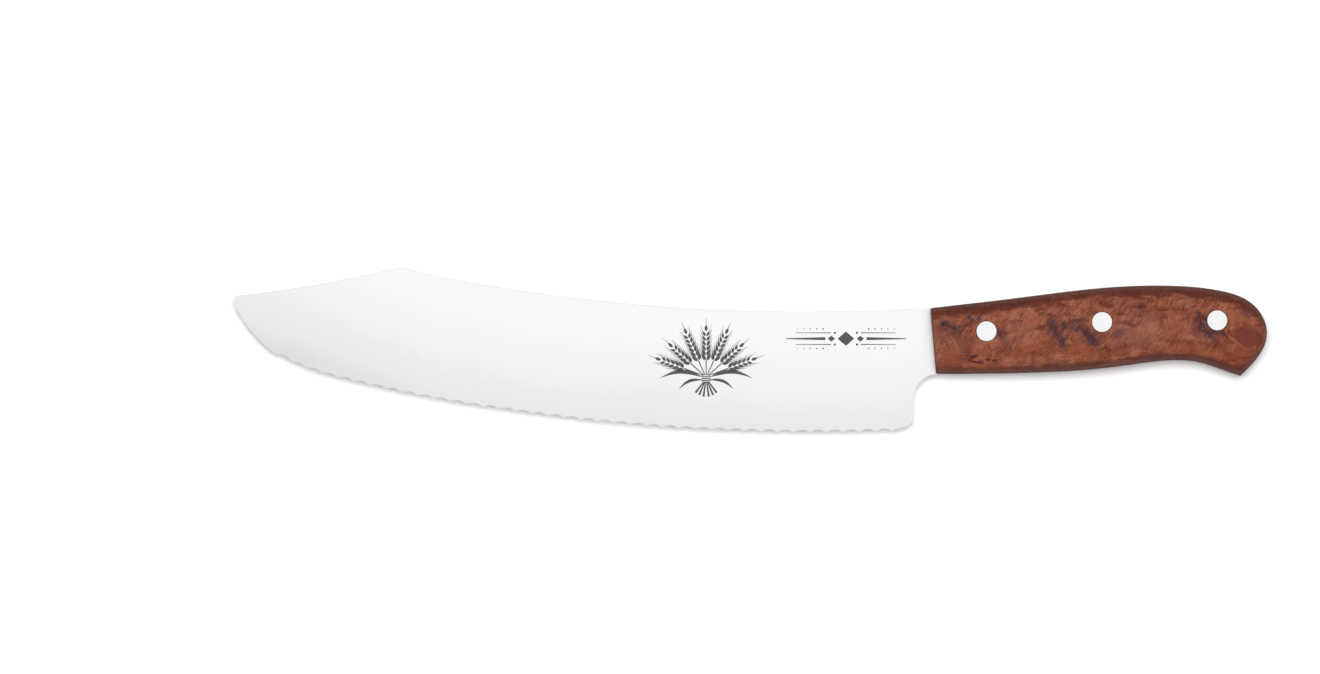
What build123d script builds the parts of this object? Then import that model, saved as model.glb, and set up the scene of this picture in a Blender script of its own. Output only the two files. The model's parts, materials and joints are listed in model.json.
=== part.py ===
"""Bread knife: a full-tang serrated blade between two wooden scales, held by three two-part rivets.

Everything is drawn in a drafting frame and moved once, at the end, into the part's own frame.
Drafting frame: x = 0 where the spine meets the handle, -x towards the tip; y = 0 on the handle's
middle line at its front, +y towards the spine; z = 0 on the blade's mid-plane, +z out of its left face.
Part frame: the same directions, with the knife lying on its right side and the origin on the surface
it lies on, below the middle of its bounding box.
"""

from build123d import *
import os
from math import cos, radians, sin, tan

# ---- driving dimensions, mm and degrees ----
BLADE_LENGTH = 250.4  # handle's front to the blunt point
TANG_THICKNESS = 2.5
HANDLE_THICKNESS = 20.0  # over both scales, at the belly
FRONT_HEIGHT = 23.7  # handle's height where it meets the blade
GRIND_TAPER = 0.0157  # each face falls by this per mm from the spine towards the edge
DISTAL_TAPER = 0.0024  # and by this per mm from the handle towards the tip
RIVET_HEAD = 7.1  # diameter
RIVET_SPACING = 41.4

# ---- blade profile ----
HANDLE_TOP_Y = 12.1
HANDLE_BOTTOM_Y = HANDLE_TOP_Y - FRONT_HEIGHT
POINT_TOP = (-BLADE_LENGTH, 16.4)
POINT_BOTTOM = (-BLADE_LENGTH, 13.8)
PEAK = (-190.4, 27.0)  # the corner where the clip meets the spine
CLIP_HOLLOW = 1.0  # how far the clip dips below a straight line
SPINE = [PEAK, (-155.0, 19.6), (-119.0, 14.8), (-83.0, 11.9), (-42.0, 10.9), (0.0, HANDLE_TOP_Y)]
TIP_EDGE_END = (-236.4, -3.9)  # the plain edge of the tip ends here and the teeth start
TIP_EDGE_RADIUS = 44.0
TOOTH_LINE = [
    TIP_EDGE_END, (-227.0, -8.9), (-208.0, -14.6), (-180.0, -20.6), (-145.0, -26.0),
    (-105.0, -30.5), (-70.0, -32.5), (-40.0, -33.0), (-12.6, -32.4),
]
HEEL_X = -6.0
HEEL_Y = -30.6
HEEL_RADIUS = 3.2
CHOIL_RADIUS = 9.1
EDGE_EASE = 0.25  # the spine and the heel are eased by this

# ---- serrations: each is ground from the right face by a round wheel ----
TOOTH_PITCH = 5.92
TOOTH_DEPTH = 1.3  # below the tooth line, of which the points where two hollows meet take back 0.2
TOOTH_COUNT = 39
FIRST_TOOTH = -2.0  # distance of the first hollow's middle from the heel end of the tooth line
BEVEL_ANGLE = 20.0
WHEEL_RADIUS = 11.8
WHEEL_REACH = 14.0
TIP_LAND = 0.06  # thickness left at the plain edge
TIP_TRIM = 0.03  # how far the grinding of the plain edge reaches inside the profile
RUN_OUT_RADIUS = 30.0  # of the wheel that grinds the faces, where it lifts off near the handle
RUN_OUT_X = -6.6

# ---- handle ----
FRONT_LEAN = 2.1  # the scales' front leans back by this over its height
HANDLE_TOP = [
    (0.0, HANDLE_TOP_Y), (30.0, 15.6), (61.0, 19.3), (84.0, 20.2), (104.0, 18.4), (115.6, 13.7),
    (120.9, 4.2), (118.7, -4.1), (111.6, -12.3),
]
HANDLE_BOTTOM = [
    (40.0, -11.0), (65.0, -9.2), (79.0, -7.3), (88.5, -6.6), (97.5, -7.6), (104.5, -9.9),
    (111.6, -12.3),
]
BELLY_X = 62.0  # where the handle is thickest
BELLY_RADIUS = 1000.0  # lengthways crown of the scales
CROWN_RADIUS = 58.0  # crown of the scales across the grip
CROWN_REACH = 80.0  # the crown is worked out this far to each side of the belly
CROWN_SWING = 80.0  # and turned through this many degrees across the grip
RIDGE_Y = 6.0  # the crown's ridge crosses the belly here
RIDGE_TURN = 1.8  # and is turned by this many degrees to follow the handle
GRIP_ROUND = 4.6
FRONT_ROUND = 0.8

# ---- rivets ----
RIVET_FRONT = (19.9, 3.8)
RIVET_RISE = [0.0, 3.3, 3.9]  # each rivet stands this far above the front one
RIVET_NAMES = ["front", "middle", "rear"]
HEAD_DEPTH = 2.2  # head thickness at the crown of the scale
BARREL_RADIUS = 2.5
HOLE_CLEARANCE = 0.08  # around each barrel and head
SHANK_RADIUS = 1.7
BARREL_BELOW = 5.4  # the barrel ends this far below the mid-plane
SHANK_ABOVE = 3.6  # and the shank this far above it
BORE_EXTRA = 0.9
SHANK_CHAMFER = 0.5

HALF_TANG = TANG_THICKNESS / 2
HALF_HANDLE = HANDLE_THICKNESS / 2
FAR = 400.0  # a length well past the knife


def handle_curves():
    """The handle's top-and-butt curve and its underside, shared by the tang and the scales."""
    top = Spline(*HANDLE_TOP, tangents=[(1, 0.12), (-0.68, -0.73)])
    choil_end = (HEEL_X + CHOIL_RADIUS, HANDLE_BOTTOM_Y)
    bottom = Spline(choil_end, *HANDLE_BOTTOM, tangents=[(1, 0), (0.94, -0.33)])
    return top, bottom


def tooth_line():
    """The line that the tooth tips lie on, from the tip's plain edge to the last tooth."""
    return Spline(*TOOTH_LINE)


def blade_outline():
    """Face of the whole blade and tang, seen from its left side."""
    top, bottom = handle_curves()
    clip = ThreePointArc(POINT_TOP, clip_middle(), PEAK)
    spine = Spline(*SPINE, tangents=[(1, -0.28), (1, 0.045)])
    tip_edge = RadiusArc(POINT_BOTTOM, TIP_EDGE_END, -TIP_EDGE_RADIUS)
    blunt = Line(POINT_BOTTOM, POINT_TOP)
    heel_corner_start = (HEEL_X - HEEL_RADIUS, HEEL_Y)
    heel_corner_end = (HEEL_X, HEEL_Y + HEEL_RADIUS)
    heel_corner = RadiusArc(heel_corner_start, heel_corner_end, -HEEL_RADIUS)
    heel_rise = Line(TOOTH_LINE[-1], heel_corner_start)
    choil_start = (HEEL_X, HANDLE_BOTTOM_Y - CHOIL_RADIUS)
    heel = Line(heel_corner_end, choil_start)
    choil = RadiusArc(choil_start, (HEEL_X + CHOIL_RADIUS, HANDLE_BOTTOM_Y), CHOIL_RADIUS)
    heel_side = [choil, heel, heel_corner, heel_rise]
    return make_face([blunt, clip, spine, top, bottom, *heel_side, tooth_line(), tip_edge])


def clip_middle():
    """Middle of the clip, a shallow hollow between the point and the peak."""
    span = Vector(*PEAK) - Vector(*POINT_TOP)
    middle = (Vector(*PEAK) + Vector(*POINT_TOP)) * 0.5
    inward = Vector(span.Y, -span.X).normalized()
    return middle + inward * CLIP_HOLLOW


def left_face_plane():
    """Plane of the blade's ground left face: it touches the tang's flat where spine meets handle."""
    normal = Vector(-DISTAL_TAPER, -GRIND_TAPER, 1)
    return Plane(origin=(0, HANDLE_TOP_Y, HALF_TANG), x_dir=(1, 0, DISTAL_TAPER), z_dir=normal)


def left_face_z(x, y):
    """Height of the ground left face over a point of the profile."""
    return HALF_TANG + GRIND_TAPER * (y - HANDLE_TOP_Y) + DISTAL_TAPER * x


def face_grinder():
    """What the wheel takes off the left face: a slab over the ground plane, with a round run-out."""
    plane = left_face_plane()
    rise = 20.0
    run_out = (2 * RUN_OUT_RADIUS * rise - rise**2) ** 0.5
    profile = make_face([
        Line((-FAR, 0), (RUN_OUT_X, 0)),
        RadiusArc((RUN_OUT_X, 0), (RUN_OUT_X + run_out, rise), -RUN_OUT_RADIUS),
        Line((RUN_OUT_X + run_out, rise), (-FAR, rise)),
        Line((-FAR, rise), (-FAR, 0)),
    ])
    upright = Plane(origin=plane.origin, x_dir=plane.x_dir, z_dir=-plane.y_dir)
    return extrude(upright * profile, amount=FAR / 4, both=True)


def tooth_wheels():
    """One wheel for each hollow, stepped along the tooth line from the heel."""
    line = tooth_line()
    length = line.length
    wheels = []
    for k in range(TOOTH_COUNT):
        distance = FIRST_TOOTH + TOOTH_PITCH * k
        along = max(0.0, distance)
        point = line.position_at(length - along, position_mode=PositionMode.LENGTH)
        ahead = line.tangent_at(length - along, position_mode=PositionMode.LENGTH)
        point += ahead * (along - distance)
        inward = Vector(-ahead.Y, ahead.X, 0)
        apex = point + inward * TOOTH_DEPTH
        apex = Vector(apex.X, apex.Y, left_face_z(apex.X, apex.Y))
        axis = inward * cos(radians(BEVEL_ANGLE)) + Vector(0, 0, -sin(radians(BEVEL_ANGLE)))
        away = inward * -sin(radians(BEVEL_ANGLE)) + Vector(0, 0, -cos(radians(BEVEL_ANGLE)))
        centre = apex + away * WHEEL_RADIUS
        wheels.append(Plane(origin=centre, z_dir=axis) * Cylinder(WHEEL_RADIUS, WHEEL_REACH))
    return wheels


def tip_grinder():
    """What sharpens the tip's plain edge from the right: a ring around its arc, conical inside."""
    arc = RadiusArc(POINT_BOTTOM, TIP_EDGE_END, -TIP_EDGE_RADIUS)
    centre = arc.arc_center
    inner = TIP_EDGE_RADIUS - TIP_TRIM
    height = 2 * TANG_THICKNESS
    flare = height / tan(radians(BEVEL_ANGLE))
    outer = TIP_EDGE_RADIUS + flare
    corners = [(inner - flare, -height), (inner, 0), (inner, height), (outer, height), (outer, -height)]
    section = make_face(Polyline(*corners, close=True))
    ring = revolve(Plane.XZ * section, Axis.Z)
    left = left_face_plane()
    low = left_face_z(centre.X, centre.Y) - TIP_LAND
    seat = Plane(origin=(centre.X, centre.Y, low), x_dir=left.x_dir, z_dir=left.z_dir)
    first_hollow_x = TIP_EDGE_END[0] + TOOTH_PITCH / 2
    ahead_of_teeth = Pos(first_hollow_x - FAR / 2, 0, 0) * Box(FAR, FAR, FAR)
    return (seat * ring) & ahead_of_teeth


def rivet_points():
    """Centre of each rivet in the profile."""
    return [
        (RIVET_FRONT[0] + RIVET_SPACING * k, RIVET_FRONT[1] + rise)
        for k, rise in enumerate(RIVET_RISE)
    ]


def blade():
    """Blade and tang in one piece, tapered, serrated, drilled for the rivets and eased along the spine."""
    body = extrude(blade_outline(), amount=HALF_TANG, both=True)
    grinder = face_grinder()
    body = body - [grinder, mirror(grinder, about=Plane.XY)]
    body = fillet(eased_edges(body), EDGE_EASE)
    body = body - tip_grinder()
    for wheel in tooth_wheels():
        body = body - wheel
    holes = [
        Pos(x, y, 0) * Cylinder(BARREL_RADIUS + HOLE_CLEARANCE, TANG_THICKNESS * 2)
        for x, y in rivet_points()
    ]
    return body - holes


def eased_edges(body):
    """Long edges of the clip, the spine and the heel: those that a hand or a board touches."""
    found = []
    for edge in body.edges():
        middle = edge.position_at(0.5)
        along = edge.tangent_at(0.5)
        level = abs(along.Z) < 0.5
        on_spine = middle.X < -0.1 and middle.Y > POINT_TOP[1] - 6.0 and edge.length > 20
        in_choil = middle.X > HEEL_X - 1.0 and HEEL_Y + HEEL_RADIUS < middle.Y < HANDLE_BOTTOM_Y
        before_grip = middle.X < HEEL_X + CHOIL_RADIUS
        if level and before_grip and (on_spine or in_choil) and abs(middle.Z) > 0.1:
            found.append(edge)
    return found


def handle_outline():
    """Face of one scale: the tang's outline behind a leaning front."""
    top, bottom = handle_curves()
    front_bottom = (FRONT_LEAN, HANDLE_BOTTOM_Y)
    lead_in = Line(front_bottom, bottom.position_at(0))
    front = Line((0, HANDLE_TOP_Y), front_bottom)
    return make_face([top, bottom, lead_in, front])


def crown():
    """Everything under the scale's crowned surface: an arc lengthways, turned about a line below the grip."""
    edge = HALF_HANDLE - BELLY_RADIUS + (BELLY_RADIUS**2 - CROWN_REACH**2) ** 0.5
    hub_z = HALF_HANDLE - CROWN_RADIUS
    profile = make_face([
        ThreePointArc((-CROWN_REACH, edge), (0, HALF_HANDLE), (CROWN_REACH, edge)),
        Line((CROWN_REACH, edge), (CROWN_REACH, hub_z)),
        Line((CROWN_REACH, hub_z), (-CROWN_REACH, hub_z)),
        Line((-CROWN_REACH, hub_z), (-CROWN_REACH, edge)),
    ])
    hub = Axis((0, 0, hub_z), (1, 0, 0))
    barrel = revolve((Plane.XZ * profile).rotate(hub, -CROWN_SWING / 2), hub, CROWN_SWING)
    return Pos(BELLY_X, RIDGE_Y, 0) * Rot(0, 0, RIDGE_TURN) * barrel


def scale_blank():
    """Left scale before it is drilled: crowned, rounded to the hand, with an eased front."""
    blank = extrude(handle_outline(), amount=HALF_HANDLE)
    blank = (Pos(0, 0, HALF_TANG) * blank) & crown()
    outer = blank.faces().sort_by(Axis.Z)[-1]
    grip = [edge for edge in outer.edges() if edge.position_at(0.5).X > FRONT_LEAN]
    blank = fillet(grip, GRIP_ROUND)
    front = blank.faces().filter_by(GeomType.PLANE).sort_by(Axis.X)[0]
    rim = [edge for edge in front.edges() if edge.position_at(0.5).Z > HALF_TANG + 0.1]
    return fillet(rim, FRONT_ROUND)


def head_seat(x, y):
    """Height of the scale's counterbore floor at a rivet."""
    crown_top = (crown() & (Pos(x, y, 0) * Cylinder(RIVET_HEAD / 2, FAR))).bounding_box().max.Z
    return crown_top - HEAD_DEPTH


def scale():
    """Left scale, drilled and counterbored for the three rivets."""
    body = scale_blank()
    for x, y in rivet_points():
        through = Pos(x, y, 0) * Cylinder(BARREL_RADIUS + HOLE_CLEARANCE, FAR)
        seat = Pos(x, y, head_seat(x, y) + FAR / 2) * Cylinder(RIVET_HEAD / 2 + HOLE_CLEARANCE, FAR)
        body = body - [through, seat]
    return body


def rivet_head(x, y):
    """Rivet head, ground flush with the crown of the scale."""
    disc = Pos(x, y, head_seat(x, y) + HALF_HANDLE / 2) * Cylinder(RIVET_HEAD / 2, HALF_HANDLE)
    return disc & crown()


def rivet_socket(x, y):
    """Half of a rivet with the hollow barrel; its head lies in the left scale."""
    seat = head_seat(x, y)
    length = seat + BARREL_BELOW
    barrel = Pos(x, y, seat - length / 2) * Cylinder(BARREL_RADIUS, length)
    bore_depth = SHANK_ABOVE + BORE_EXTRA + BARREL_BELOW
    bore = Pos(x, y, bore_depth / 2 - BARREL_BELOW) * Cylinder(SHANK_RADIUS, bore_depth)
    return rivet_head(x, y) + barrel - bore


def rivet_pin(x, y):
    """Half of a rivet with the solid shank; its head lies in the right scale."""
    seat = head_seat(x, y)
    length = seat + SHANK_ABOVE
    shank = Pos(x, y, seat - length / 2) * Cylinder(SHANK_RADIUS, length)
    shank = chamfer(shank.edges().sort_by(Axis.Z)[0], SHANK_CHAMFER)
    return mirror(rivet_head(x, y) + shank, about=Plane.XY)


def main():
    """Builds every piece, moves it into the part's own frame and writes it."""
    left = scale()
    pieces = {"blade_with_tang": blade(), "left_scale": left, "right_scale": mirror(left, about=Plane.XY)}
    for name, (x, y) in zip(RIVET_NAMES, rivet_points()):
        pieces[f"{name}_rivet_socket"] = rivet_socket(x, y)
        pieces[f"{name}_rivet_pin"] = rivet_pin(x, y)
    box = Compound(list(pieces.values())).bounding_box()
    to_part_frame = Pos(-box.center().X, -box.center().Y, -box.min.Z)
    os.makedirs("parts", exist_ok=True)
    for name, piece in pieces.items():
        export_step(to_part_frame * piece, f"parts/{name}.step")


main()
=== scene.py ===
import json
from math import atan2, cos, pi, radians, sin

import bmesh
import bpy
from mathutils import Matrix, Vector


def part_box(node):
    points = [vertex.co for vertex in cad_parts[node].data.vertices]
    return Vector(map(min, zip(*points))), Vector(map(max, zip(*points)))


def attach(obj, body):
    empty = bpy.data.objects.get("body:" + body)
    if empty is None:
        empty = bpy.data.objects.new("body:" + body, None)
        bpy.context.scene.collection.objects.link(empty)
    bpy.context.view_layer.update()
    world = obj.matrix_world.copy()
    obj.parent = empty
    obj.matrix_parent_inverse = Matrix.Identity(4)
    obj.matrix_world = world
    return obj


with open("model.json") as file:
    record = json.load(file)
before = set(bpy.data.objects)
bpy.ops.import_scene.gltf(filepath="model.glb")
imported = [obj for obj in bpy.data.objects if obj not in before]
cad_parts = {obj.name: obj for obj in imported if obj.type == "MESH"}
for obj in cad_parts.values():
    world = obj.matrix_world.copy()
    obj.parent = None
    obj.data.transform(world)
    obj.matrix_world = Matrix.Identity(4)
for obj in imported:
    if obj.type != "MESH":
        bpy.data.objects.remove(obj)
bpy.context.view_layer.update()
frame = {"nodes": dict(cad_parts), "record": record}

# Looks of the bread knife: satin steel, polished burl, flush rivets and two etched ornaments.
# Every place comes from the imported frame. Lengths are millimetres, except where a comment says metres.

MM = 0.001
NODES = frame["nodes"]
RECORD = frame["record"]
RIVETS = ("front", "middle", "rear")

EDGE_LOWEST_TO_HANDLE = 40.0  # the cutting edge hangs lowest this far ahead of the handle
EDGE_RISE = 29.0  # from there it climbs this much, in a parabola
EDGE_RISE_RUN = 196.0  # over this length towards the point


# ---- places taken from the frame ----
def box_mm(node):
    """Lowest and highest corner of a node, in millimetres."""
    low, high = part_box(node)
    return Vector(low) / MM, Vector(high) / MM


SCALE_LOW, _ = box_mm("left_scale")
BLADE_LOW, BLADE_HIGH = box_mm("blade_with_tang")
TANG_MIDDLE = (BLADE_LOW.z + BLADE_HIGH.z) / 2
RIVET_CENTRES = []
for rivet_name in RIVETS:
    rivet_low, rivet_high = box_mm(f"{rivet_name}_rivet_socket")
    RIVET_CENTRES.append((rivet_low + rivet_high) / 2)
RIVET_RADIUS = (rivet_high.x - rivet_low.x) / 2
EDGE_LOWEST_X = SCALE_LOW.x - EDGE_LOWEST_TO_HANDLE
EDGE_CLIMB = EDGE_RISE / EDGE_RISE_RUN ** 2


# ---- building shader graphs ----
class Graph:
    """A material's nodes, made by short calls. Lengths inside it are millimetres."""

    def __init__(self, name):
        self.material = bpy.data.materials.new(name)
        self.material.use_nodes = True
        self.tree = self.material.node_tree
        self.tree.nodes.clear()
        self.shader = self.node("ShaderNodeBsdfPrincipled")
        output = self.node("ShaderNodeOutputMaterial")
        self.link(self.shader.outputs["BSDF"], output.inputs["Surface"])
        place = self.node("ShaderNodeTexCoord").outputs["Object"]
        self.place = self.vector("SCALE", place, scale=1 / MM)

    def node(self, kind, **settings):
        made = self.tree.nodes.new(kind)
        for key, value in settings.items():
            setattr(made, key, value)
        return made

    def link(self, source, target):
        self.tree.links.new(source, target)

    def put(self, socket, value):
        """Sets a socket from another socket or from a plain value."""
        if isinstance(value, bpy.types.NodeSocket):
            self.link(value, socket)
        else:
            socket.default_value = value

    def vector(self, operation, a, b=None, scale=None):
        made = self.node("ShaderNodeVectorMath", operation=operation)
        self.put(made.inputs[0], a)
        if b is not None:
            self.put(made.inputs[1], b)
        if scale is not None:
            self.put(made.inputs["Scale"], scale)
        return made.outputs["Value" if operation == "LENGTH" else "Vector"]

    def math(self, operation, a, b=None):
        made = self.node("ShaderNodeMath", operation=operation)
        self.put(made.inputs[0], a)
        if b is not None:
            self.put(made.inputs[1], b)
        return made.outputs[0]

    def fold(self, operation, terms):
        """Joins any number of terms by a two-sided operation."""
        total = terms[0]
        for term in terms[1:]:
            total = self.math(operation, total, term)
        return total

    def add(self, *terms):
        return self.fold("ADD", terms)

    def minus(self, a, b):
        return self.math("SUBTRACT", a, b)

    def times(self, a, b):
        return self.math("MULTIPLY", a, b)

    def absolute(self, value):
        return self.math("ABSOLUTE", value)

    def ramp(self, value, low, high, out_low=0.0, out_high=1.0, smooth=True):
        """Maps low..high to out_low..out_high, clamped."""
        made = self.node("ShaderNodeMapRange", interpolation_type="SMOOTHSTEP" if smooth else "LINEAR")
        for socket, number in zip(made.inputs[:5], (value, low, high, out_low, out_high)):
            self.put(socket, number)
        return made.outputs[0]

    def shifted(self, place, offset=(0, 0, 0), turn=0.0, size=(1, 1, 1)):
        """Coordinates seen from a frame at offset, turned about Z by degrees, with unit lengths of size."""
        made = self.node("ShaderNodeMapping", vector_type="TEXTURE")
        self.put(made.inputs["Vector"], place)
        made.inputs["Location"].default_value = offset
        made.inputs["Rotation"].default_value = (0, 0, radians(turn))
        made.inputs["Scale"].default_value = size
        return made.outputs["Vector"]

    def noise(self, place, size, detail=3.0, roughness=0.55, colour=False):
        """Noise from 0 to 1 with features of about the given size."""
        made = self.node("ShaderNodeTexNoise")
        self.put(made.inputs["Vector"], place)
        made.inputs["Scale"].default_value = 1 / size
        made.inputs["Detail"].default_value = detail
        made.inputs["Roughness"].default_value = roughness
        return made.outputs["Color" if colour else "Fac"]

    def streaks(self, place, size, turn=0.0, detail=3.0, roughness=0.55):
        """Noise drawn out to a size along each of its own axes, which are turned about Z by degrees."""
        return self.noise(self.shifted(place, turn=turn, size=size), 1.0, detail, roughness)

    def cells(self, place, size):
        """Distance to the nearest of scattered points, in units of size."""
        made = self.node("ShaderNodeTexVoronoi", feature="F1")
        self.put(made.inputs["Vector"], place)
        made.inputs["Scale"].default_value = 1 / size
        return made.outputs["Distance"]

    def warp(self, place, size, amount):
        """Pushes coordinates about by up to amount, with noise of the given size."""
        push = self.noise(place, size, detail=2.0, colour=True)
        centred = self.vector("SUBTRACT", push, (0.5, 0.5, 0.5))
        return self.vector("ADD", place, self.vector("SCALE", centred, scale=2 * amount))

    def mix(self, factor, a, b):
        """From colour a to colour b."""
        made = self.node("ShaderNodeMix", data_type="RGBA")
        self.put(made.inputs["Factor"], factor)
        # the node has a pair of inputs for each type of data, and these two are the colours
        a_and_b = made.inputs[6:8]
        for socket, colour in zip(a_and_b, (a, b)):
            self.put(socket, colour if isinstance(colour, bpy.types.NodeSocket) else (*colour, 1.0))
        return made.outputs[2]

    def colours(self, value, stops):
        """Colour ramp from a list of (position, colour)."""
        made = self.node("ShaderNodeValToRGB")
        self.put(made.inputs[0], value)
        ramp = made.color_ramp
        ramp.interpolation = "EASE"
        while len(ramp.elements) < len(stops):
            ramp.elements.new(0.5)
        for element, (position, colour) in zip(ramp.elements, stops):
            element.position = position
            element.color = (*colour, 1.0)
        return made.outputs[0]

    def bump(self, height, distance, strength):
        """Bump whose full height is distance."""
        made = self.node("ShaderNodeBump")
        made.inputs["Strength"].default_value = strength
        made.inputs["Distance"].default_value = distance * MM
        self.put(made.inputs["Height"], height)
        return made.outputs["Normal"]

    def parts(self, place):
        """X, Y and Z of a vector."""
        made = self.node("ShaderNodeSeparateXYZ")
        self.put(made.inputs[0], place)
        return made.outputs

    def normal(self):
        """X, Y and Z of the surface's direction."""
        return self.parts(self.node("ShaderNodeNewGeometry").outputs["Normal"])

    def finish(self, **sockets):
        for name, value in sockets.items():
            self.put(self.shader.inputs[name.replace("_", " ")], value)
        return self.material


def grey(level):
    return (level, level, level)


NOISE = (0.3, 0.7)  # most of a noise's values lie between these
NOISE_CORE = (0.34, 0.66)  # closer in, for more contrast


# ---- steel ----
STEEL_TONES = [(0.0, grey(0.76)), (0.30, grey(0.86)), (0.60, grey(0.935)), (1.0, grey(0.985))]
HOLLOW_STEEL = grey(0.80)
WORN_STEEL = grey(0.90)
# painted shade: the thin sides' steel is darker, to tone down the lamp's glare on them, under real belt
# marks
SHADED_SIDE_STEEL = (grey(0.50), grey(0.66))
RIVET_TONES = ((0.88, 0.88, 0.875), (0.97, 0.97, 0.97))
OXIDE_TONES = ((0.055, 0.055, 0.058), (0.11, 0.11, 0.112))
SHADE_BAND_HEIGHT = 36.0  # painted shade: the face's colour darkens towards the cutting edge over this height above it
SHADE_POINT_LENGTH = 90.0  # and over this length towards the point
STEEL_RELIEF = 0.004
# how far a surface of the steel faces up or down, from where it starts to count to where it counts in full
HOLLOW_TILT = (0.975, 0.955)
WORN_TILT = (0.85, 0.55)
SIDE_TILT = (0.60, 0.25)
RIVET_RELIEF = 0.0015


def blade_steel():
    """Satin steel with fine grinding marks across the blade, and painted shade that darkens its colour
    towards the edge and the point.
    """
    g = Graph("satin_blade_steel")
    x, y, _ = g.parts(g.place)
    facing = g.absolute(g.normal()[2])
    lines = g.streaks(g.place, (0.22, 16.0, 4.0), detail=4.0, roughness=0.65)
    fine = g.streaks(g.place, (0.07, 6.0, 1.0), turn=4.0, detail=2.0)
    cloud = g.noise(g.place, 30.0)

    # height above the edge, whose line rises in a curve towards the point
    forward = g.minus(EDGE_LOWEST_X, x)
    climb = g.times(g.times(forward, forward), EDGE_CLIMB)
    above_edge = g.minus(g.minus(y, BLADE_LOW.y), climb)
    # painted light and shade: the colour lightens up the face and darkens near the point, standing in for
    # the overhead lamp's reflection
    painted_light_up_face = g.ramp(above_edge, 0.0, SHADE_BAND_HEIGHT, 0.0, 0.72, smooth=False)
    painted_shade_near_point = g.ramp(x, BLADE_LOW.x + SHADE_POINT_LENGTH, BLADE_LOW.x, 0.0, 0.19)
    tone = g.add(painted_light_up_face, g.times(cloud, 0.30), g.times(lines, 0.16))
    colour = g.colours(g.minus(tone, painted_shade_near_point), STEEL_TONES)
    rough = g.add(g.ramp(lines, *NOISE, 0.25, 0.34), g.times(cloud, 0.06))

    # the wheel-ground hollows of the teeth, told by their slight tilt, are coarser
    ground = g.ramp(facing, *HOLLOW_TILT)
    scratches = g.streaks(g.place, (5.0, 0.11, 1.2), turn=90.0)
    colour = g.mix(g.times(ground, g.ramp(scratches, *NOISE, 0.35, 0.9)), colour, HOLLOW_STEEL)
    ground_rough = g.times(ground, g.ramp(scratches, *NOISE, -0.05, 0.10))

    # the eased edges are worn smooth, and the thin sides of the steel show lengthways belt marks on a
    # darker colour, painted shade that tones down the lamp's glare on them
    worn = g.ramp(facing, *WORN_TILT)
    colour = g.mix(g.times(worn, 0.6), colour, WORN_STEEL)
    side = g.ramp(facing, *SIDE_TILT)
    belt = g.streaks(g.place, (9.0, 9.0, 0.12))
    colour = g.mix(side, colour, g.mix(g.ramp(belt, *NOISE), *SHADED_SIDE_STEEL))

    rough = g.add(rough, ground_rough, g.times(worn, -0.06), g.times(side, 0.08))
    belt_height = g.times(side, g.times(belt, 2.0))
    ground_height = g.times(ground, g.times(scratches, 3.0))
    height = g.add(belt_height, lines, g.times(fine, 0.6), ground_height)
    relief = g.bump(height, STEEL_RELIEF, 0.6)
    return g.finish(Base_Color=colour, Metallic=1.0, Roughness=rough, Normal=relief)


def rivet_steel():
    """Rivet heads ground flush and polished with the wood: fine straight scratches."""
    g = Graph("polished_rivet_steel")
    scratch = g.streaks(g.place, (2.6, 0.07, 2.0), turn=24.0)
    colour = g.mix(g.noise(g.place, 2.4), *RIVET_TONES)
    rough = g.ramp(scratch, *NOISE, 0.16, 0.30)
    relief = g.bump(scratch, RIVET_RELIEF, 0.5)
    return g.finish(Base_Color=colour, Metallic=1.0, Roughness=rough, Normal=relief)


def etch_oxide():
    """The dark oxide of an etched mark."""
    g = Graph("etched_oxide")
    cloud = g.noise(g.place, 1.2, detail=4.0)
    colour = g.mix(cloud, *OXIDE_TONES)
    return g.finish(Base_Color=colour, Metallic=0.35, Roughness=g.ramp(cloud, *NOISE, 0.45, 0.6))


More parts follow.
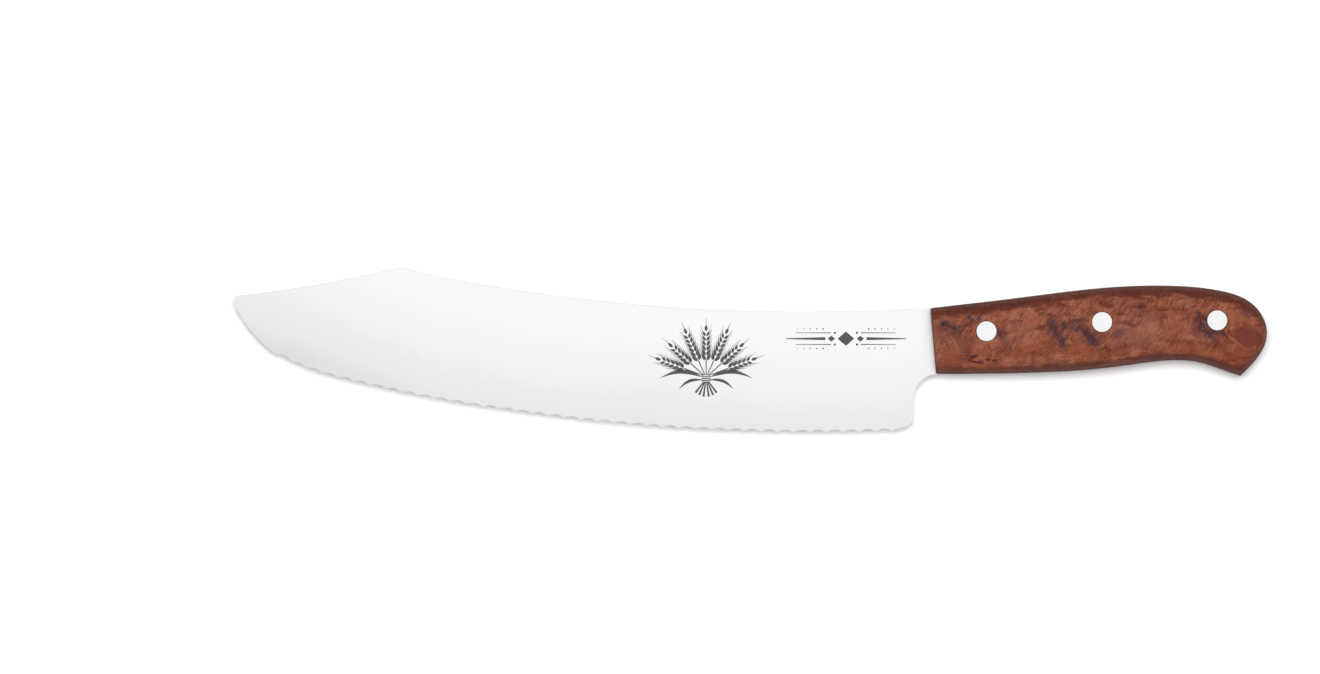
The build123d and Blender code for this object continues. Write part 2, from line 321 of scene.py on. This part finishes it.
# ---- burl ----
# The figures in the wood, by kind, each (x, y, half length, half width, angle): x from the front of the
# scale, y from its lowest point, the angle in degrees from the handle's direction.
LEFT_FIGURES = {
    "knot": [(4.4, 18.8, 1.7, 1.2, 15)],
    "dark": [
        (7.4, 17.4, 3.0, 0.6, -28), (14.6, 20.2, 2.6, 0.7, -38), (17.6, 21.4, 1.6, 0.6, 50),
        (13.6, 24.9, 4.6, 1.1, 8), (30.8, 26.2, 5.0, 1.2, 6), (24.4, 15.4, 0.7, 1.6, 20),
        (17.8, 5.0, 1.7, 0.9, 0), (43.2, 18.4, 3.4, 1.4, -60), (46.0, 13.8, 3.6, 1.3, -62),
        (47.8, 18.4, 2.4, 0.9, -65), (52.6, 17.0, 2.2, 0.7, 50), (55.8, 15.0, 3.0, 1.3, -48),
        (58.2, 12.8, 2.8, 1.8, -30), (96.6, 21.6, 3.2, 1.2, -42), (97.0, 18.2, 2.8, 1.4, 75),
        (98.6, 15.9, 3.0, 1.1, -25), (100.6, 14.4, 2.6, 1.1, -40), (101.8, 16.0, 2.3, 0.9, 40),
        (104.4, 15.2, 2.4, 1.1, -35),
    ],
    "purple": [
        (6.4, 17.6, 5.2, 3.0, -20), (15.4, 20.6, 4.2, 2.4, -20), (25.4, 14.8, 2.2, 3.0, 0),
        (44.8, 16.2, 8.0, 4.6, -60), (51.4, 18.6, 5.0, 3.8, 25), (57.2, 13.8, 5.6, 3.6, -40),
        (99.6, 17.2, 6.6, 6.0, -40), (101.2, 5.0, 4.4, 1.3, -16), (66.8, 15.0, 4.0, 2.6, 30),
        (112.6, 22.4, 4.6, 1.6, -25),
    ],
    "red": [
        (15.0, 6.7, 2.6, 0.8, 35), (15.6, 5.0, 2.4, 0.6, -10), (20.2, 6.1, 1.1, 0.9, 30),
        (22.8, 5.8, 1.3, 0.7, 10),
    ],
    "orange": [
        (7.5, 6.4, 5.6, 4.6, 60), (91.5, 9.9, 13.5, 2.3, -3), (34.0, 8.6, 10.0, 3.6, 8),
        (54.5, 9.8, 8.0, 3.0, 10),
    ],
    "tan": [(34.0, 22.0, 9.0, 3.4, 10), (33.0, 16.0, 9.0, 5.6, 10), (76.0, 17.0, 13.0, 7.0, 8)],
    "wine": [
        (108.6, 6.4, 9.0, 2.8, -40), (91.5, 12.2, 13.0, 1.2, -4), (70.0, 10.8, 7.0, 1.0, 8),
        (22.0, 24.8, 13.0, 1.7, 7),
    ],
    "smooth": [(113.8, 14.0, 7.0, 4.2, -10)],
    "light": [
        (109.0, 12.7, 5.4, 0.28, -38), (104.6, 25.4, 2.0, 0.35, 18), (8.6, 11.6, 5.4, 0.2, -64),
        (35.4, 23.8, 2.8, 0.3, -40), (40.6, 20.4, 3.4, 0.25, 58), (97.6, 19.8, 1.6, 0.3, -30),
    ],
}
RIGHT_FIGURES = {
    "knot": [(11.0, 20.0, 2.1, 1.4, 30)],
    "dark": [
        (13.6, 17.4, 2.8, 0.8, -40), (36.0, 19.0, 3.2, 0.9, 55), (39.4, 16.2, 2.8, 1.0, 62),
        (74.0, 21.4, 2.2, 1.6, -10), (77.4, 19.4, 3.0, 0.7, -50), (71.6, 18.4, 2.8, 0.8, 40),
        (90.4, 13.0, 1.8, 1.0, 30),
    ],
    "purple": [
        (12.4, 18.4, 5.6, 4.2, -30), (38.2, 17.4, 6.8, 4.2, 58), (74.6, 19.6, 6.2, 4.8, 0),
        (110.8, 18.6, 4.6, 3.0, 40),
    ],
    "red": [(30.6, 8.4, 1.4, 0.9, 20), (32.8, 7.2, 1.1, 0.8, 0), (34.2, 9.0, 2.0, 0.7, -30)],
    "orange": [(22.0, 9.6, 9.0, 3.4, 6), (60.0, 10.6, 14.0, 2.8, 6), (98.6, 24.0, 10.0, 2.8, -14)],
    "tan": [(53.0, 20.4, 8.0, 4.6, 10)],
    "wine": [(60.0, 13.6, 13.0, 1.1, 6), (20.0, 13.4, 8.0, 1.0, 8)],
    "smooth": [(108.6, 11.0, 5.0, 4.0, -30)],
    "light": [(48.0, 13.0, 5.0, 0.25, 30), (86.0, 18.0, 4.6, 0.25, -52), (20.4, 23.4, 3.0, 0.3, 20)],
}
# Each kind, in the order that they lie over each other: full inside the first distance and gone beyond the
# second, in half lengths, then its colour, and how much it covers the wood between the fibres and on them.
FIGURE_KINDS = {
    "orange": (0.20, 1.20, (0.225, 0.048, 0.012), 0.20, 0.75),
    "tan": (0.10, 1.30, (0.290, 0.109, 0.071), 0.34, 0.64),
    "wine": (0.20, 1.20, (0.115, 0.018, 0.010), 0.80, 0.40),
    "smooth": (0.60, 1.20, (0.122, 0.026, 0.018), 0.90, 0.90),
    "purple": (0.20, 1.15, (0.074, 0.023, 0.032), 0.90, 0.40),
    "red": (0.40, 1.00, (0.045, 0.005, 0.005), 0.90, 0.90),
    "dark": (0.60, 1.15, (0.028, 0.012, 0.020), 0.95, 0.55),
    "knot": (0.35, 1.25, (0.018, 0.010, 0.008), 1.00, 1.00),
    "light": (0.30, 1.20, (0.420, 0.170, 0.090), 0.45, 0.45),
}
WOOD_TONES = [
    (0.12, (0.062, 0.013, 0.007)), (0.36, (0.155, 0.039, 0.018)),
    (0.58, (0.235, 0.070, 0.037)), (0.88, (0.360, 0.136, 0.078)),
]
ORANGE_PATCH = (0.270, 0.064, 0.016)
DUSKY_PATCH = (0.120, 0.038, 0.028)
# painted highlight colour for short hairs that seem to catch the light
GLEAM_HIGHLIGHT = (0.380, 0.150, 0.085)
FLECK = (0.060, 0.014, 0.010)
PORE = (0.070, 0.018, 0.012)
# painted shade colours for the rounded rims and the walls of the scales
TOP_RIM_SHADE = (0.066, 0.011, 0.006)
LOW_RIM_SHADE = (0.070, 0.018, 0.014)
WALL_SHADE = (0.055, 0.015, 0.009)
STAIN = (0.022, 0.009, 0.009)

SWIRL = (20.0, 4.0)  # size of the wood's broad swirls, and how far they push
CURL = (8.0, 0.7)  # and of its small ones
RISING = 54.0  # way the fibres lie across the grip, in degrees
LENGTHWAYS = 4.0  # and along its underside
HAIRS = 57.0
PORES = 52.0
FLECKS = -48.0
RAGGED = -50.0
UNDERSIDE = (18.0, 14.0)  # the fibres turn lengthways between these heights above the scale's lowest point
SEAM = (1.75, 1.3)  # the wood darkens towards the tang between these distances from its middle
RING = (0.4, 0.1)  # and towards a rivet's head between these distances from its rim
THROUGH = 1000.0  # figures run through the whole thickness
WOOD_RELIEF = 0.014
WOOD_SPECULAR = 0.22
FIBRE_ROUGH = (0.40, 0.30)  # roughness between the fibres and on them


def figure_masks(g, place, ragged, figures):
    """One mask for each kind of figure, from the nearest of its ellipses, with ragged edges."""
    masks = {}
    for kind, ellipses in figures.items():
        distances = []
        for x, y, half_length, half_width, angle in ellipses:
            centre = (SCALE_LOW.x + x, SCALE_LOW.y + y, 0.0)
            local = g.shifted(place, centre, angle, (half_length, half_width, THROUGH))
            distances.append(g.vector("LENGTH", local))
        inside, outside = FIGURE_KINDS[kind][:2]
        nearest = g.fold("MINIMUM", distances)
        masks[kind] = g.ramp(g.add(nearest, ragged), inside, outside, 1.0, 0.0)
    return masks


def stained(g, z):
    """Where the wood is stained: beside the tang and around each rivet's head."""
    off_tang = g.absolute(g.minus(z, TANG_MIDDLE))
    stains = [g.ramp(off_tang, *SEAM)]
    for centre in RIVET_CENTRES:
        flat = g.vector("MULTIPLY", g.vector("SUBTRACT", g.place, tuple(centre)), (1, 1, 0))
        off_rivet = g.vector("LENGTH", flat)
        stains.append(g.ramp(off_rivet, RIVET_RADIUS + RING[0], RIVET_RADIUS + RING[1]))
    return g.fold("MAXIMUM", stains)


def burl(name, figures, shift):
    """Polished burl: curly fibres, dark figures, a painted highlight on short hairs, painted shade on the
    rounded rims and walls, and stain beside the steel.
    """
    g = Graph(name)
    _, y, z = g.parts(g.place)
    normal = g.normal()
    facing = g.absolute(normal[2])
    moved = g.vector("ADD", g.place, shift)
    swirl = g.warp(moved, *SWIRL)
    curl = g.warp(swirl, *CURL)

    # fibres: rising across the grip, and lengthways along its underside, parted by a wandering line
    rising = g.streaks(curl, (4.2, 0.34, 1.2), turn=RISING, detail=4.0, roughness=0.62)
    lengthways = g.streaks(curl, (6.0, 0.42, 1.2), turn=LENGTHWAYS, detail=4.0, roughness=0.62)
    lie = g.add(y, g.times(g.noise(moved, 12.0, detail=2.0), 14.0))
    under = g.ramp(lie, SCALE_LOW.y + UNDERSIDE[0], SCALE_LOW.y + UNDERSIDE[1])
    fibres = g.add(g.times(rising, g.minus(1.0, under)), g.times(lengthways, under))
    fibres = g.ramp(fibres, *NOISE_CORE, smooth=False)
    hairs = g.ramp(g.streaks(curl, (2.8, 0.26, 0.6), turn=HAIRS, detail=2.0), 0.35, 0.65)
    broad = g.ramp(g.noise(swirl, 5.0, detail=4.0, roughness=0.6), *NOISE_CORE, smooth=False)
    patches = g.noise(g.vector("ADD", swirl, (40.0, 9.0, 5.0)), 19.0)
    patches = g.ramp(patches, 0.36, 0.64, smooth=False)

    # colour: deep red brown to tan, with orange and dusky patches, then the figures
    tone = g.add(g.times(broad, 0.40), g.times(fibres, 0.42), g.times(hairs, 0.18))
    wood = g.colours(tone, WOOD_TONES)
    wood = g.mix(g.ramp(patches, 0.60, 0.95, 0.0, 0.34), wood, ORANGE_PATCH)
    wood = g.mix(g.ramp(patches, 0.42, 0.05, 0.0, 0.45), wood, DUSKY_PATCH)
    edge = g.streaks(g.place, (1.5, 0.8, 1.0), turn=RAGGED, detail=5.0, roughness=0.7)
    ragged = g.times(g.minus(edge, 0.5), 1.7)
    masks = figure_masks(g, g.warp(g.place, 2.2, 0.5), ragged, figures)
    for kind, (_, _, colour, between_fibres, on_fibres) in FIGURE_KINDS.items():
        cover = g.ramp(fibres, 0.1, 0.9, between_fibres, on_fibres)
        wood = g.mix(g.times(masks[kind], cover), wood, colour)

    # painted highlight: short bright hairs coloured as if they catch the light, and dark flecks and pores
    # between them
    gleam = g.ramp(g.streaks(curl, (3.4, 0.32, 0.8), turn=HAIRS, detail=1.0), 0.57, 0.74)
    gleam_here = g.ramp(g.noise(moved, 15.0, detail=2.0), 0.40, 0.60, 0.10, 0.60)
    gleam_here = g.times(gleam_here, g.minus(1.0, g.times(masks["smooth"], 0.7)))
    wood = g.mix(g.times(gleam, gleam_here), wood, GLEAM_HIGHLIGHT)
    fleck = g.ramp(g.streaks(curl, (1.8, 0.34, 0.8), turn=FLECKS, detail=2.0), 0.62, 0.72)
    wood = g.mix(g.times(fleck, 0.42), wood, FLECK)
    pores = g.ramp(g.cells(g.shifted(curl, turn=PORES, size=(2.4, 0.5, 0.8)), 1.0), 0.16, 0.05)
    wood = g.mix(g.times(pores, 0.4), wood, PORE)

    # painted shade: the rounded rims are darker, less so where they turn down into the walls, which get
    # painted shade of their own
    wander = g.times(g.minus(g.streaks(g.place, (6.0, 2.0, 3.0), detail=4.0), 0.5), 1.3)
    off_wall = g.ramp(facing, 0.15, 0.55, 0.45, 1.0)
    top_rim_shade = g.times(g.ramp(g.add(normal[1], wander), 0.04, 0.34), off_wall)
    low_rim_shade = g.times(g.ramp(g.add(g.times(normal[1], -1.0), wander), 0.26, 0.60), off_wall)
    wood = g.mix(g.times(top_rim_shade, g.ramp(fibres, 0.0, 1.0, 0.95, 0.70)), wood, TOP_RIM_SHADE)
    wood = g.mix(g.times(low_rim_shade, g.ramp(fibres, 0.0, 1.0, 0.85, 0.50)), wood, LOW_RIM_SHADE)
    wood = g.mix(g.ramp(facing, 0.75, 0.25, 0.0, 0.6), wood, WALL_SHADE)
    wood = g.mix(g.times(stained(g, z), 0.8), wood, STAIN)

    fibre_rough = g.ramp(fibres, 0.0, 1.0, *FIBRE_ROUGH)
    rough = g.add(fibre_rough, g.times(pores, 0.15), g.ramp(facing, 0.8, 0.3, 0.0, 0.4))
    height = g.add(g.times(fibres, 0.5), g.times(hairs, 0.3), g.times(pores, -0.8), g.times(fleck, -0.3))
    relief = g.bump(height, WOOD_RELIEF, 0.5)
    return g.finish(Base_Color=wood, Roughness=rough, Normal=relief, Specular_IOR_Level=WOOD_SPECULAR)


# ---- etched ornaments: thin flat pieces on the blade's left face ----
FACE = next(mount for mount in RECORD["mounts"] if mount["name"] == "blade_left_face")
FACE_POINT = Vector(FACE["pos_m"]) / MM
FACE_NORMAL = Vector(FACE["axis"]).normalized()
ETCH_PROUD = 0.015
ETCH_SUNK = 0.02
SHEAF_CENTRE = (-15.9, -2.6)
DIVIDER_CENTRE = (34.4, 4.0)


def on_face(x, y, rise):
    """Point of the blade's left face over x, y, raised by rise along its normal."""
    fall = (FACE_NORMAL.x * (x - FACE_POINT.x) + FACE_NORMAL.y * (y - FACE_POINT.y)) / FACE_NORMAL.z
    return Vector((x, y, FACE_POINT.z - fall)) + FACE_NORMAL * rise


def turned(angle, length=1.0):
    """Vector of a length towards an angle in radians."""
    return Vector((cos(angle), sin(angle))) * length


def leaf_outline(start, angle, length, width, bend=0.0, steps=7):
    """Pointed leaf from start towards angle (radians), bowed sideways by bend, widest near its foot."""
    outline = []
    for side in (1, -1):
        for k in range(steps):
            t = k / steps if side > 0 else 1 - k / steps
            along = length * t
            across = side * width / 2 * sin(pi * t ** 0.8) + bend * sin(pi * t)
            outline.append((
                start[0] + along * cos(angle) - across * sin(angle),
                start[1] + along * sin(angle) + across * cos(angle),
            ))
    return outline


def bar_outline(start, end, width_start, width_end):
    """Straight bar from start to end whose width changes along it."""
    angle = atan2(end[1] - start[1], end[0] - start[0])
    side = Vector((-sin(angle), cos(angle)))
    start_side = side * width_start / 2
    end_side = side * width_end / 2
    a, b = Vector(start), Vector(end)
    return [tuple(corner) for corner in (a + start_side, a - start_side, b - end_side, b + end_side)]


def disc_outline(centre, radius, steps=20):
    angles = [2 * pi * k / steps for k in range(steps)]
    return [(centre[0] + radius * cos(angle), centre[1] + radius * sin(angle)) for angle in angles]


def etched(name, outlines, centre):
    """Mesh of thin closed plates, one for each outline, on the blade's left face."""
    mesh = bmesh.new()
    for outline in outlines:
        low, high = (
            [mesh.verts.new(on_face(centre[0] + x, centre[1] + y, rise) * MM) for x, y in outline]
            for rise in (-ETCH_SUNK, ETCH_PROUD)
        )
        mesh.faces.new(high)
        mesh.faces.new(list(reversed(low)))
        for k in range(len(outline)):
            after = (k + 1) % len(outline)
            mesh.faces.new((low[k], low[after], high[after], high[k]))
    bmesh.ops.recalc_face_normals(mesh, faces=mesh.faces)
    return placed(name, mesh)


def placed(name, mesh):
    """Turns a finished bmesh into an object of the scene."""
    data = bpy.data.meshes.new(name)
    mesh.to_mesh(data)
    mesh.free()
    piece = bpy.data.objects.new(name, data)
    bpy.context.scene.collection.objects.link(piece)
    return piece


# one ear of wheat
STALK_WIDTHS = (0.34, 0.42)
GRAIN_SPACING = 0.60  # in grain lengths
GRAIN_WIDTH = 1.30
GRAIN_SPLAY = 0.52  # radians from the stalk
GRAIN_OFFSET = 0.22
GRAIN_SHRINK = 0.30  # share by which the grains shrink up the ear
AWN_LENGTH = 2.3
AWN_SPLAY = 0.30
AWN_WIDTHS = (0.24, 0.08)
TOP_GRAIN_LENGTH = 0.85  # in grain lengths
TOP_GRAIN_WIDTH = 1.15
TOP_AWN_LENGTH = 2.6
AWN_START = 0.96  # in lengths of its grain
TOP_AWN_START = 0.8

# the sheaf's ears: lean in degrees, stalk length, pairs of grains
EARS = ((0, 5.4, 6), (24, 5.8, 6), (48, 6.4, 5), (70, 7.4, 5))
EAR_FOOT_STEP = 0.016  # the feet stand apart by this for each degree of lean
EAR_FOOT_Y = -6.6
GRAIN_LENGTH = 2.9
# side leaves: distance from the middle, y, lean in degrees, length, width, bend
SIDE_LEAVES = ((1.4, -7.2, 92, 15.5, 1.5, 2.2), (1.2, -8.2, 112, 9.5, 1.1, 1.4))
STALK_LEANS = (-36, -22, -8, 8, 22, 36)
STALK_FOOT_STEP = 0.025
STALK_TOP_Y = -8.9
STALK_LENGTH = 5.6
STALK_SHORTER = 0.02  # for each degree of lean
CUT_STALK_WIDTHS = (0.42, 0.78)
BAND_ROWS = (-7.1, -7.8, -8.5)
BAND_HALF_LENGTH = 1.7
BAND_WIDTH = 0.42


def wheat_ear(foot, angle, stalk, grains):
    """Outlines of one ear: a stalk, pairs of grains with awns up it, and one grain at the top."""
    start = Vector(foot)
    spacing = GRAIN_LENGTH * GRAIN_SPACING
    ear_start = start + turned(angle, stalk)
    ear_end = ear_start + turned(angle, spacing * grains)
    outlines = [bar_outline(start, ear_start, *STALK_WIDTHS)]
    for k in range(grains):
        shrink = 1.0 - GRAIN_SHRINK * k / grains
        length = GRAIN_LENGTH * shrink
        for side in (1, -1):
            root = ear_start + turned(angle, spacing * k) + turned(angle + side * pi / 2, GRAIN_OFFSET)
            splay = angle + side * GRAIN_SPLAY
            outlines.append(leaf_outline(root, splay, length, GRAIN_WIDTH * shrink))
            tip = root + turned(splay, length * AWN_START)
            awn_end = tip + turned(angle + side * AWN_SPLAY, AWN_LENGTH)
            outlines.append(bar_outline(tip, awn_end, *AWN_WIDTHS))
    outlines.append(leaf_outline(ear_end, angle, GRAIN_LENGTH * TOP_GRAIN_LENGTH, TOP_GRAIN_WIDTH))
    tip = ear_end + turned(angle, GRAIN_LENGTH * TOP_AWN_START)
    outlines.append(bar_outline(tip, tip + turned(angle, TOP_AWN_LENGTH), *AWN_WIDTHS))
    return outlines


def wheat_sheaf():
    """A generic sheaf: seven ears fanned from a band, long leaves at its sides and cut stalks below."""
    outlines = []
    for lean, stalk, grains in EARS:
        for side in (1, -1) if lean else (1,):
            foot = (side * lean * EAR_FOOT_STEP, EAR_FOOT_Y)
            outlines += wheat_ear(foot, radians(90 - side * lean), stalk, grains)
    for side in (1, -1):
        for out, y, lean, length, width, bend in SIDE_LEAVES:
            angle = radians(90 - side * lean)
            outlines.append(leaf_outline((side * out, y), angle, length, width, bend=side * bend, steps=12))
    for lean in STALK_LEANS:
        foot = Vector((lean * STALK_FOOT_STEP, STALK_TOP_Y))
        end = foot + turned(radians(-90 + lean), STALK_LENGTH - abs(lean) * STALK_SHORTER)
        outlines.append(bar_outline(foot, end, *CUT_STALK_WIDTHS))
    for row in BAND_ROWS:
        ends = (-BAND_HALF_LENGTH, row), (BAND_HALF_LENGTH, row)
        outlines.append(bar_outline(*ends, BAND_WIDTH, BAND_WIDTH))
    return outlines


# the divider: lozenges (x, half width, half height), a middle rule, and outer rules and dots in rows
LOZENGES = ((0.0, 3.0, 2.6), (5.2, 1.3, 1.1), (-5.2, 1.3, 1.1))
MIDDLE_RULE = (7.4, 21.6, 1.1, 0.3)  # from, to, and the width at each end
OUTER_RULE = (5.4, 18.0, 0.34, 0.2)
OUTER_ROW = 2.1
END_DOT_X = 4.0
END_DOT_RADIUS = 0.42
DOT_ROW = 3.5
DOTS = [(8.2 + 2.3 * k, 0.30 - 0.03 * k) for k in range(5)]  # x and radius


def rule(side, row, start, end, width_start, width_end):
    return bar_outline((side * start, row), (side * end, row), width_start, width_end)


def divider():
    """A plain ruled ornament: lozenges between tapering rules and rows of dots."""
    outlines = []
    for x, half_width, half_height in LOZENGES:
        outlines.append([(x - half_width, 0), (x, -half_height), (x + half_width, 0), (x, half_height)])
    for side in (1, -1):
        outlines.append(rule(side, 0, *MIDDLE_RULE))
        for row in (-OUTER_ROW, OUTER_ROW):
            outlines.append(rule(side, row, *OUTER_RULE))
            outlines.append(disc_outline((side * END_DOT_X, row), END_DOT_RADIUS))
        for x, radius in DOTS:
            for row in (DOT_ROW, -DOT_ROW):
                outlines.append(disc_outline((side * x, row), radius, 12))
    return outlines


# ---- the pieces ----
def dress(node, material):
    """Gives a CAD node its finished material."""
    slots = NODES[node].material_slots
    if not slots:
        raise ValueError(f"{node} has no material slot")
    for slot in slots:
        slot.material = material


dress("blade_with_tang", blade_steel())
dress("left_scale", burl("burl_left", LEFT_FIGURES, (0.0, 0.0, 0.0)))
dress("right_scale", burl("burl_right", RIGHT_FIGURES, (210.0, 37.0, 90.0)))
rivet_material = rivet_steel()
for rivet_name in RIVETS:
    dress(f"{rivet_name}_rivet_socket", rivet_material)
    dress(f"{rivet_name}_rivet_pin", rivet_material)

etch_material = etch_oxide()
for name, outlines, centre in (
    ("etched_wheat_sheaf", wheat_sheaf(), SHEAF_CENTRE),
    ("etched_divider", divider(), DIVIDER_CENTRE),
):
    ornament = etched(name, outlines, centre)
    ornament.data.materials.append(etch_material)
    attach(ornament, "root")


# ---- floor, light and camera ----
FLOOR_TONES = (grey(0.92), grey(0.95))
# painted light: the floor glows faintly though it is no lamp, which lifts the shadows around the knife
FLOOR_GLOW = 0.12
FLOOR_REACH = 3.0  # metres from the middle to a side
REFLECTED_LOW = 0.55  # brightness of what the steel mirrors, from below
REFLECTED_HIGH = 0.995  # and from straight above
LAMP_PLACE = (0.0, 0.27, 2.2)  # metres
LAMP_SIZE = (1.0, 0.86)  # metres
LAMP_POWER = 60.0
VIEW_CENTRE = Vector((-32.5, 4.6, 0.0)) * MM
VIEW_WIDTH = 475.2 * MM
CAMERA_HEIGHT = 2.6  # metres
CAMERA_REACH = 20.0  # metres
SENSOR = 36.0


def floor():
    """A plain pale floor that the knife lies on, glowing faintly though it is no lamp: painted light that
    lifts the shadows.
    """
    g = Graph("pale_floor")
    colour = g.mix(g.noise(g.place, 400.0), *FLOOR_TONES)
    material = g.finish(
        Base_Color=colour, Roughness=0.8, Emission_Color=(1.0, 1.0, 1.0, 1.0), Emission_Strength=FLOOR_GLOW
    )
    mesh = bmesh.new()
    bmesh.ops.create_grid(mesh, x_segments=2, y_segments=2, size=FLOOR_REACH)
    piece = placed("floor", mesh)
    piece.data.materials.append(material)


def overhead_lamp():
    """A soft lamp pointing straight down that the steel doesn't mirror."""
    data = bpy.data.lights.new("overhead", "AREA")
    data.shape = "RECTANGLE"
    data.size, data.size_y = LAMP_SIZE
    data.energy = LAMP_POWER
    lamp = bpy.data.objects.new("overhead", data)
    lamp.location = LAMP_PLACE
    lamp.visible_camera = False
    lamp.visible_glossy = False
    bpy.context.scene.collection.objects.link(lamp)


def surroundings():
    """Pale surroundings for the steel to mirror, brighter overhead, which light nothing else."""
    made = bpy.data.worlds.new("studio")
    made.use_nodes = True
    tree = made.node_tree
    direction = tree.nodes.new("ShaderNodeTexCoord").outputs["Generated"]
    parts = tree.nodes.new("ShaderNodeSeparateXYZ")
    rise = tree.nodes.new("ShaderNodeMapRange")
    tree.links.new(direction, parts.inputs[0])
    tree.links.new(parts.outputs["Z"], rise.inputs["Value"])
    rise.inputs["To Min"].default_value = REFLECTED_LOW
    rise.inputs["To Max"].default_value = REFLECTED_HIGH
    background = tree.nodes["Background"]
    background.inputs["Color"].default_value = (1.0, 1.0, 1.0, 1.0)
    tree.links.new(rise.outputs["Result"], background.inputs["Strength"])
    made.cycles_visibility.diffuse = False
    bpy.context.scene.world = made


def camera():
    """Straight down over the knife, from far enough away to look nearly flat."""
    data = bpy.data.cameras.new("camera")
    data.sensor_width = SENSOR
    data.lens = SENSOR * (CAMERA_HEIGHT - TANG_MIDDLE * MM) / VIEW_WIDTH
    data.clip_end = CAMERA_REACH
    eye = bpy.data.objects.new("camera", data)
    eye.location = VIEW_CENTRE + Vector((0, 0, CAMERA_HEIGHT))
    bpy.context.scene.collection.objects.link(eye)
    bpy.context.scene.camera = eye


floor()
surroundings()
overhead_lamp()
camera()
bpy.context.scene.view_settings.view_transform = "Standard"
